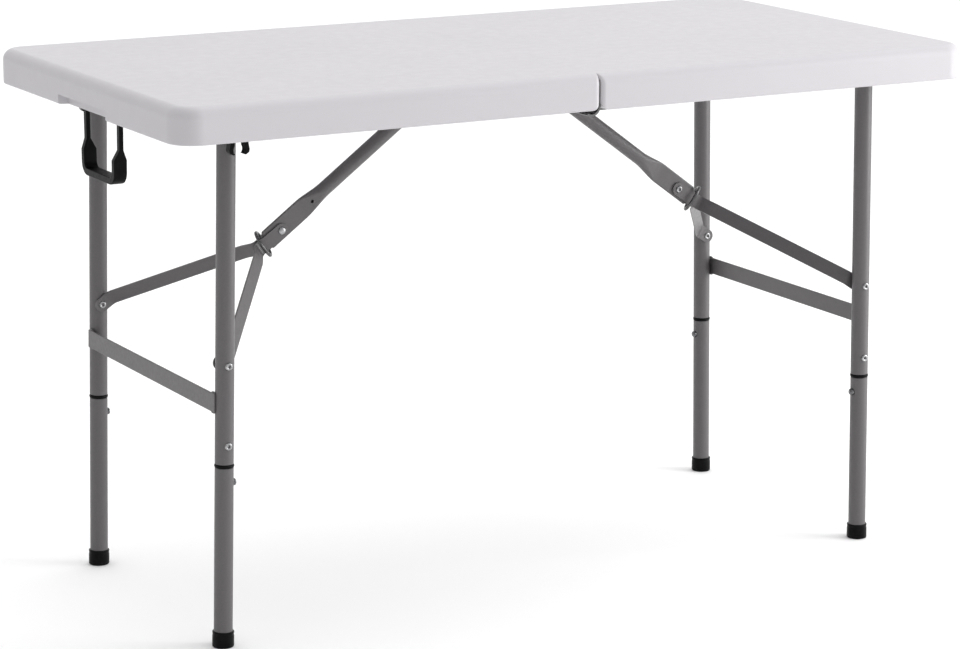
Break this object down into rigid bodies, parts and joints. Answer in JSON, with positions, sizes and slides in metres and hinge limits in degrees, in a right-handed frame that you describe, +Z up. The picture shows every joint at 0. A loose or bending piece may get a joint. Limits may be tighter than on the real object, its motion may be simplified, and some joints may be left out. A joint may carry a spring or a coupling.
{
  "type": "folding table",
  "caption": "Folding table with a moulded top that halves at a centre hinge, on two braced, inward-folding leg frames with removable lower legs and a drop-down carry handle.",
  "frame": {"origin": "on the floor, under the middle of the table top", "axes": "+X along the length towards the end without the carry handle, +Y across the width away from the closing clip, +Z up"},
  "size_m": [1.22, 0.61, 0.735],
  "materials": {
    "moulded_plastic": "blow-moulded polyethylene with a fine pebbled grain, pale grey white",
    "grey_paint": "hammered grey powder coat on steel tube and flat bar",
    "plain_steel": "grey coated sheet steel",
    "plated_steel": "zinc-plated rivets, pins, buttons and wire rings",
    "black_plastic": "black moulded plastic, satin"
  },
  "bodies": {
    "left_half": {"top_half_left": "moulded_plastic", "side_rail_left_front": "plain_steel", "side_rail_left_rear": "plain_steel", "hinge_pin_front": "plated_steel", "hinge_pin_rear": "plated_steel", "left_brace_bracket": "plain_steel", "handle_bracket": "plain_steel", "closing_clip": "black_plastic"},
    "right_half": {"top_half_right": "moulded_plastic", "side_rail_right_front": "plain_steel", "side_rail_right_rear": "plain_steel", "right_brace_bracket": "plain_steel"},
    "handle": {"carry_handle": "black_plastic"},
    "left_front_extension": {"left_front_extension_tube": "grey_paint", "left_front_foot_cap": "black_plastic"},
    "left_front_button": {"left_front_snap_button": "plated_steel"},
    "left_rear_extension": {"left_rear_extension_tube": "grey_paint", "left_rear_foot_cap": "black_plastic"},
    "left_rear_button": {"left_rear_snap_button": "plated_steel"},
    "left_legs": {"left_pivot_tube": "grey_paint", "left_crossbar": "grey_paint", "left_front_upper_tube": "grey_paint", "left_front_inner_stub": "plain_steel", "left_front_collar": "black_plastic", "left_front_stub_rivet": "plated_steel", "left_front_arm_rivet": "plated_steel", "left_rear_upper_tube": "grey_paint", "left_rear_inner_stub": "plain_steel", "left_rear_collar": "black_plastic", "left_rear_stub_rivet": "plated_steel", "left_rear_arm_rivet": "plated_steel"},
    "left_brace": {"left_brace_tube": "grey_paint", "left_elbow_rivet": "plated_steel"},
    "left_arms": {"left_front_brace_arm": "grey_paint", "left_rear_brace_arm": "grey_paint"},
    "left_ring": {"left_lock_ring": "plated_steel"},
    "right_front_extension": {"right_front_extension_tube": "grey_paint", "right_front_foot_cap": "black_plastic"},
    "right_front_button": {"right_front_snap_button": "plated_steel"},
    "right_rear_extension": {"right_rear_extension_tube": "grey_paint", "right_rear_foot_cap": "black_plastic"},
    "right_rear_button": {"right_rear_snap_button": "plated_steel"},
    "right_legs": {"right_pivot_tube": "grey_paint", "right_crossbar": "grey_paint", "right_front_upper_tube": "grey_paint", "right_front_inner_stub": "plain_steel", "right_front_collar": "black_plastic", "right_front_stub_rivet": "plated_steel", "right_front_arm_rivet": "plated_steel", "right_rear_upper_tube": "grey_paint", "right_rear_inner_stub": "plain_steel", "right_rear_collar": "black_plastic", "right_rear_stub_rivet": "plated_steel", "right_rear_arm_rivet": "plated_steel"},
    "right_brace": {"right_brace_tube": "grey_paint", "right_elbow_rivet": "plated_steel"},
    "right_arms": {"right_front_brace_arm": "grey_paint", "right_rear_brace_arm": "grey_paint"},
    "right_ring": {"right_lock_ring": "plated_steel"}
  },
  "joints": [
    {"name": "left_leg_fold", "type": "hinge", "parent": "left_half", "child": "left_legs", "pos_m": [-0.49856, 0, 0.7075], "axis": [0, -1, 0], "range_deg": [0, 90.5]},
    {"name": "left_brace_turn", "type": "hinge", "parent": "left_half", "child": "left_brace", "pos_m": [-0.045, 0, 0.7075], "axis": [0, 1, 0], "range_deg": [0, 34.25]},
    {"name": "left_elbow_turn", "type": "hinge", "parent": "left_brace", "child": "left_arms", "pos_m": [-0.3224, 0, 0.5026], "axis": [0, -1, 0], "range_deg": [0, 183.13]},
    {"name": "left_ring_slide", "type": "slide", "parent": "left_brace", "child": "left_ring", "axis": [0.8078, 0, 0.5895], "range_m": [0, 0.2785]},
    {"name": "left_front_extension_slide", "type": "slide", "parent": "left_legs", "child": "left_front_extension", "axis": [0.0205, 0, 0.9998], "range_m": [-0.07, 0]},
    {"name": "left_front_button_press", "type": "slide", "parent": "left_front_extension", "child": "left_front_button", "axis": [-0.9998, 0, 0.0205], "range_m": [0, 0.004], "stiffness_N_per_m": 600, "springref_m": -0.002},
    {"name": "left_rear_extension_slide", "type": "slide", "parent": "left_legs", "child": "left_rear_extension", "axis": [0.0205, 0, 0.9998], "range_m": [-0.07, 0]},
    {"name": "left_rear_button_press", "type": "slide", "parent": "left_rear_extension", "child": "left_rear_button", "axis": [-0.9998, 0, 0.0205], "range_m": [0, 0.004], "stiffness_N_per_m": 600, "springref_m": -0.002},
    {"name": "right_leg_fold", "type": "hinge", "parent": "right_half", "child": "right_legs", "pos_m": [0.49856, 0, 0.7075], "axis": [0, 1, 0], "range_deg": [0, 83]},
    {"name": "right_brace_turn", "type": "hinge", "parent": "right_half", "child": "right_brace", "pos_m": [0.045, 0, 0.7075], "axis": [0, -1, 0], "range_deg": [0, 34.25]},
    {"name": "right_elbow_turn", "type": "hinge", "parent": "right_brace", "child": "right_arms", "pos_m": [0.3224, 0, 0.5026], "axis": [0, 1, 0], "range_deg": [0, 171.87]},
    {"name": "right_ring_slide", "type": "slide", "parent": "right_brace", "child": "right_ring", "axis": [-0.8078, 0, 0.5895], "range_m": [0, 0.2685]},
    {"name": "right_front_extension_slide", "type": "slide", "parent": "right_legs", "child": "right_front_extension", "axis": [-0.0205, 0, 0.9998], "range_m": [-0.07, 0]},
    {"name": "right_front_button_press", "type": "slide", "parent": "right_front_extension", "child": "right_front_button", "axis": [0.9998, 0, 0.0205], "range_m": [0, 0.004], "stiffness_N_per_m": 600, "springref_m": -0.002},
    {"name": "right_rear_extension_slide", "type": "slide", "parent": "right_legs", "child": "right_rear_extension", "axis": [-0.0205, 0, 0.9998], "range_m": [-0.07, 0]},
    {"name": "right_rear_button_press", "type": "slide", "parent": "right_rear_extension", "child": "right_rear_button", "axis": [0.9998, 0, 0.0205], "range_m": [0, 0.004], "stiffness_N_per_m": 600, "springref_m": -0.002},
    {"name": "centre_fold", "type": "hinge", "parent": "left_half", "child": "right_half", "pos_m": [-0.004, 0, 0.687], "axis": [0, -1, 0], "range_deg": [-60, 0]},
    {"name": "handle_swing", "type": "hinge", "parent": "left_half", "child": "handle", "pos_m": [-0.5795, 0, 0.6835], "axis": [0, 1, 0], "range_deg": [-75, 90]}
  ],
  "couplings": [
    {"joint": "left_brace_turn", "follows": "left_leg_fold", "ratio": 0.37736},
    {"joint": "left_elbow_turn", "follows": "left_leg_fold", "ratio": 2.0213},
    {"joint": "left_ring_slide", "follows": "left_leg_fold", "m_per_rad": 0.176},
    {"joint": "right_brace_turn", "follows": "right_leg_fold", "ratio": 0.41146},
    {"joint": "right_elbow_turn", "follows": "right_leg_fold", "ratio": 2.0683},
    {"joint": "right_ring_slide", "follows": "right_leg_fold", "m_per_rad": 0.185}
  ]
}
